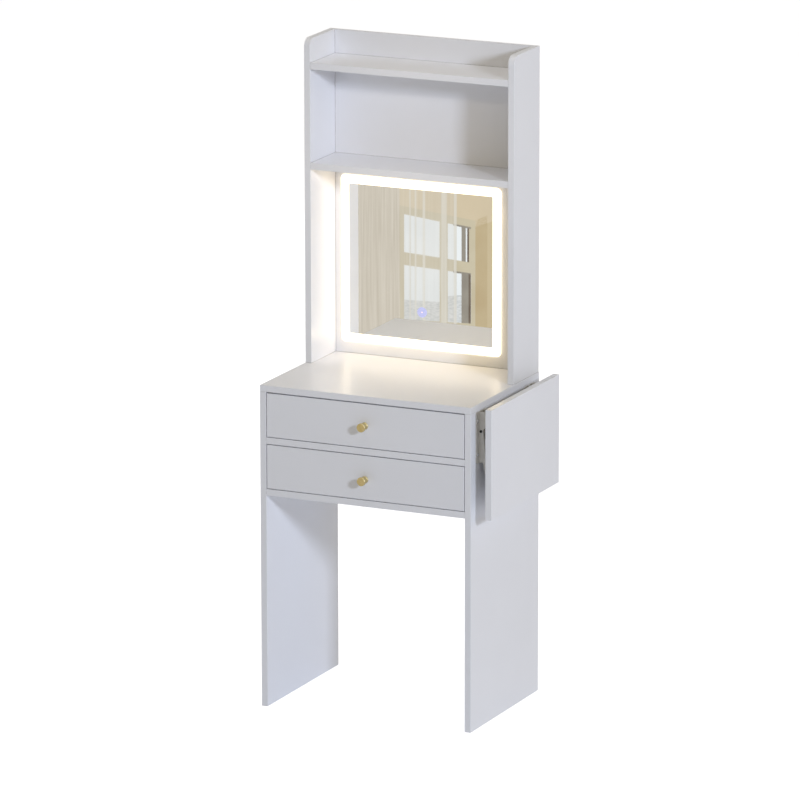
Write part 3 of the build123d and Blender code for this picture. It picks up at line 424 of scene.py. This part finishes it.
def make_lights():
    """A cool key from the right, softer fill from above, beside and behind, and two spotlights."""
    add_lamp("key", azimuth=54.5, elevation=20, distance=8.0, size=0.9, power=276, color=(0.77, 0.84, 1.0))
    add_lamp("top", azimuth=10, elevation=82, distance=2.6, size=2.2, power=16, color=(0.92, 0.90, 0.92))
    add_lamp("side", azimuth=100, elevation=15, distance=3.6, size=2.0, power=12, color=(1.0, 0.84, 0.60))
    add_lamp("shelf", azimuth=24, elevation=28, distance=3.0, size=0.3, power=60, color=(1.0, 0.85, 0.62),
             height=BAY_HEIGHT, cone=13)
    add_lamp("desk", azimuth=10, elevation=72, distance=3.0, size=0.3, power=44, color=(1.0, 0.90, 0.75),
             height=DESK_HEIGHT, cone=10)
    add_lamp("back", azimuth=232, elevation=18, distance=5.0, size=2.5, power=75, color=(0.96, 0.97, 1.0))


# ---- The light that the band throws ----
GLOW_COLOR = (1.0, 0.77, 0.38)
GLOW_STRENGTH = 2.2
GLOW_AWAY = 0.022         # how far in front of the band the rods stand
GLOW_INSET = 0.010        # from the band's outer edge in to the rods
GLOW_RODS = (0.0042, 0.0030, 0.0030, 0.0012)    # radii of the bottom, right, top and left rods


def make_band_glow():
    """Four unseen rods in front of the band throw its light on the boards around it."""
    low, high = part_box("light_band")
    left, right = low.x + GLOW_INSET, high.x - GLOW_INSET
    bottom, top = low.z + GLOW_INSET, high.z - GLOW_INSET
    front = low.y - GLOW_AWAY
    outline = (left, bottom), (right, bottom), (right, top), (left, top)
    corners = [Vector((x, front, z)) for x, z in outline]
    mesh = bpy.data.meshes.new("band_glow")
    form = bmesh.new()
    for start, end, radius in zip(corners, corners[1:] + corners[:1], GLOW_RODS):
        along = (end - start).normalized()
        turn = along.to_track_quat("Z", "Y").to_matrix().to_4x4()
        place = Matrix.Translation((start + end) / 2) @ turn
        bmesh.ops.create_cone(form, segments=6, radius1=radius, radius2=radius, cap_ends=False,
                              depth=(end - start).length, matrix=place)
    form.to_mesh(mesh)
    form.free()
    tree = Tree("band_glow", (0, 0, 0), 1.0)
    tree.glow(GLOW_COLOR, GLOW_STRENGTH)
    mesh.materials.append(tree.material)
    rods = bpy.data.objects.new("band_glow", mesh)
    bpy.context.scene.collection.objects.link(rods)
    rods.visible_camera = False
    rods.visible_glossy = False
    rods.visible_shadow = False


# ---- The room that the mirror shows ----
# A small lit picture of a curtained window stands in front, where the mirror looks when it is seen
# from the camera. Only reflections see it. Places in it are across from the carcass's middle and up.
ROOM_AWAY = 1.211
LAYER = 0.0005
EYE_HEIGHT = 0.56
TAPER = 0.54              # how fast the window's level edges draw together to the right
ROOM_LOW, ROOM_HIGH = -0.3, 1.6
ROOM_LEFT, ROOM_RIGHT = -1.9, 0.7

WINDOW_LEFT, WINDOW_RIGHT = -0.7105, -0.5155
REVEAL_RIGHT = -0.483
REVEAL_LOW, REVEAL_HIGH = 0.3, 0.80
REVEAL_DROP = 0.02        # its upper edge falls this much towards the window
SOFFIT_LEFT, SOFFIT_RIGHT = -1.2, -0.30
SOFFIT_LOW, SOFFIT_RISE = 0.76, 0.14
FRAME_LEFT = -0.75
FRAME_LOW, FRAME_HIGH = 0.40, 0.778
LOWER_PANES = (0.484, 0.624)                          # their lower and upper edges
UPPER_PANES = (0.657, 0.754)
PANES = ((WINDOW_LEFT, -0.613), (-0.591, -0.533))     # left and right edge of each pane
LOWER_REACH = (0, 0.006)                              # how much wider each lower pane is
SKYLINES = ((0.535, 0.537), (0.555, 0.567))           # height of the roofs at those edges
CASEMENT_LEFT = -0.5525
CASEMENT_RIGHT = -0.527
UPPER_CASEMENT_RIGHT = -0.541
UPPER_EDGE = (-0.537, -0.532)
LOWER_EDGE_LEFT = -0.533
RAIL_LEFT = -0.575
RAIL_BELOW, RAIL_ABOVE = 0.002, 0.003                 # about the top of the panes
DRAPE_RIGHT = -0.722
SHEER_RIGHT = -0.566
PLEATS = ((-0.693, 0.004), (-0.678, 0.005), (-0.655, 0.007), (-0.600, 0.016), (-0.569, 0.008))


def lit(name, low, high, scale=8.0, stretch=(1, 1, 1), cover=1.0):
    """A plain lit surface between two tones. Cover is how much it hides of what is behind it."""
    tree = Tree(name, (0, 0, 0), 1.0)
    tree.shader.inputs["Specular IOR Level"].default_value = 0.0
    tone = tree.ramp(tree.noise(scale, detail=3, stretch=stretch), low, high)
    tree.links.new(tone, tree.shader.inputs["Emission Color"])
    tree.shader.inputs["Emission Strength"].default_value = 1.0
    tree.shader.inputs["Alpha"].default_value = cover
    return tree.material


def hang(name, corners, layer, material):
    """A flat figure in the room, in this layer of the picture."""
    mesh = bpy.data.meshes.new(name)
    places = []
    for x, z in corners:
        narrowing = 1 - TAPER * max(x - WINDOW_LEFT, 0)
        height = EYE_HEIGHT + (z - EYE_HEIGHT) * narrowing
        places.append((AXIS_X + x, AXIS_Y - ROOM_AWAY + layer * LAYER, height))
    mesh.from_pydata(places, [], [range(len(places))])
    mesh.materials.append(material)
    piece = bpy.data.objects.new(name, mesh)
    bpy.context.scene.collection.objects.link(piece)
    piece.visible_camera = False
    piece.visible_diffuse = False
    piece.visible_shadow = False
    piece.visible_transmission = False
    piece.visible_volume_scatter = False


def upright(left, right, low, high):
    return (left, low), (right, low), (right, high), (left, high)


def make_wall():
    wall = lit("room_wall", (0.62, 0.51, 0.33), (0.67, 0.56, 0.37), 3.0)
    soffit = lit("room_soffit", (0.68, 0.57, 0.40), (0.74, 0.63, 0.46), 5.0)
    reveal = lit("room_reveal", (0.54, 0.42, 0.25), (0.60, 0.49, 0.31), 9.0)
    hang("room_wall", upright(ROOM_LEFT, ROOM_RIGHT, ROOM_LOW, ROOM_HIGH), 0, wall)
    slope = ((SOFFIT_LEFT, SOFFIT_LOW), (WINDOW_RIGHT, SOFFIT_LOW), (SOFFIT_RIGHT, SOFFIT_LOW + SOFFIT_RISE),
             (SOFFIT_RIGHT, ROOM_HIGH), (SOFFIT_LEFT, ROOM_HIGH))
    hang("room_soffit", slope, 1, soffit)
    side = ((WINDOW_RIGHT, REVEAL_LOW), (REVEAL_RIGHT, REVEAL_LOW), (REVEAL_RIGHT, REVEAL_HIGH),
            (WINDOW_RIGHT, REVEAL_HIGH - REVEAL_DROP))
    hang("room_reveal", side, 1, reveal)


def make_window():
    frame_paint = lit("room_frame", (0.60, 0.53, 0.38), (0.68, 0.61, 0.46), 9.0)
    pane = lit("room_pane", (0.88, 0.92, 0.95), (0.95, 0.98, 1.0), 10.0)
    town = lit("room_town", (0.58, 0.61, 0.62), (0.84, 0.85, 0.86), 90.0, (1, 1, 3))
    dark = lit("room_casement", (0.31, 0.28, 0.24), (0.38, 0.35, 0.30), 20.0)
    edge = lit("room_edge", (0.17, 0.13, 0.10), (0.22, 0.18, 0.14), 20.0)
    low, high = LOWER_PANES
    hang("room_frame", upright(FRAME_LEFT, WINDOW_RIGHT, FRAME_LOW, FRAME_HIGH), 2, frame_paint)
    for side, (left, right) in enumerate(PANES):
        reach = right + LOWER_REACH[side]
        roofs_left, roofs_right = SKYLINES[side]
        hang(f"room_upper_pane_{side}", upright(left, right, *UPPER_PANES), 3, pane)
        hang(f"room_lower_pane_{side}", upright(left, reach, low, high), 3, pane)
        roofs = (left, low), (reach, low), (reach, roofs_right), (left, roofs_left)
        hang(f"room_town_{side}", roofs, 4, town)
    hang("room_upper_casement", upright(CASEMENT_LEFT, UPPER_CASEMENT_RIGHT, *UPPER_PANES), 5, dark)
    hang("room_upper_edge", upright(*UPPER_EDGE, *UPPER_PANES), 5, edge)
    hang("room_lower_casement", upright(CASEMENT_LEFT, CASEMENT_RIGHT, low, high), 5, dark)
    hang("room_lower_edge", upright(LOWER_EDGE_LEFT, CASEMENT_RIGHT, low, high), 6, edge)
    for number, height in enumerate((UPPER_PANES[1], high)):
        rail = upright(RAIL_LEFT, CASEMENT_RIGHT, height - RAIL_BELOW, height + RAIL_ABOVE)
        hang(f"room_rail_{number}", rail, 6, dark)


def make_curtains():
    upward = (1, 1, 0.02)
    drape = lit("room_drape", (0.61, 0.55, 0.46), (0.74, 0.68, 0.59), 240.0, upward)
    sheer = lit("room_sheer", (0.64, 0.59, 0.51), (0.76, 0.72, 0.65), 240.0, upward, cover=0.33)
    pleat = lit("room_pleat", (0.74, 0.70, 0.62), (0.82, 0.79, 0.72), 200.0, upward, cover=0.7)
    hang("room_drape", upright(ROOM_LEFT, DRAPE_RIGHT, ROOM_LOW, ROOM_HIGH), 7, drape)
    hang("room_sheer", upright(DRAPE_RIGHT, SHEER_RIGHT, ROOM_LOW, ROOM_HIGH), 7, sheer)
    for number, (middle, width) in enumerate(PLEATS):
        strip = upright(middle - width / 2, middle + width / 2, ROOM_LOW, ROOM_HIGH)
        hang(f"room_pleat_{number}", strip, 8, pleat)


make_camera()
dress_nodes()
make_switch_spot()
make_floor()
make_world()
make_lights()
make_band_glow()
make_wall()
make_window()
make_curtains()
bpy.context.scene.view_settings.view_transform = "Standard"
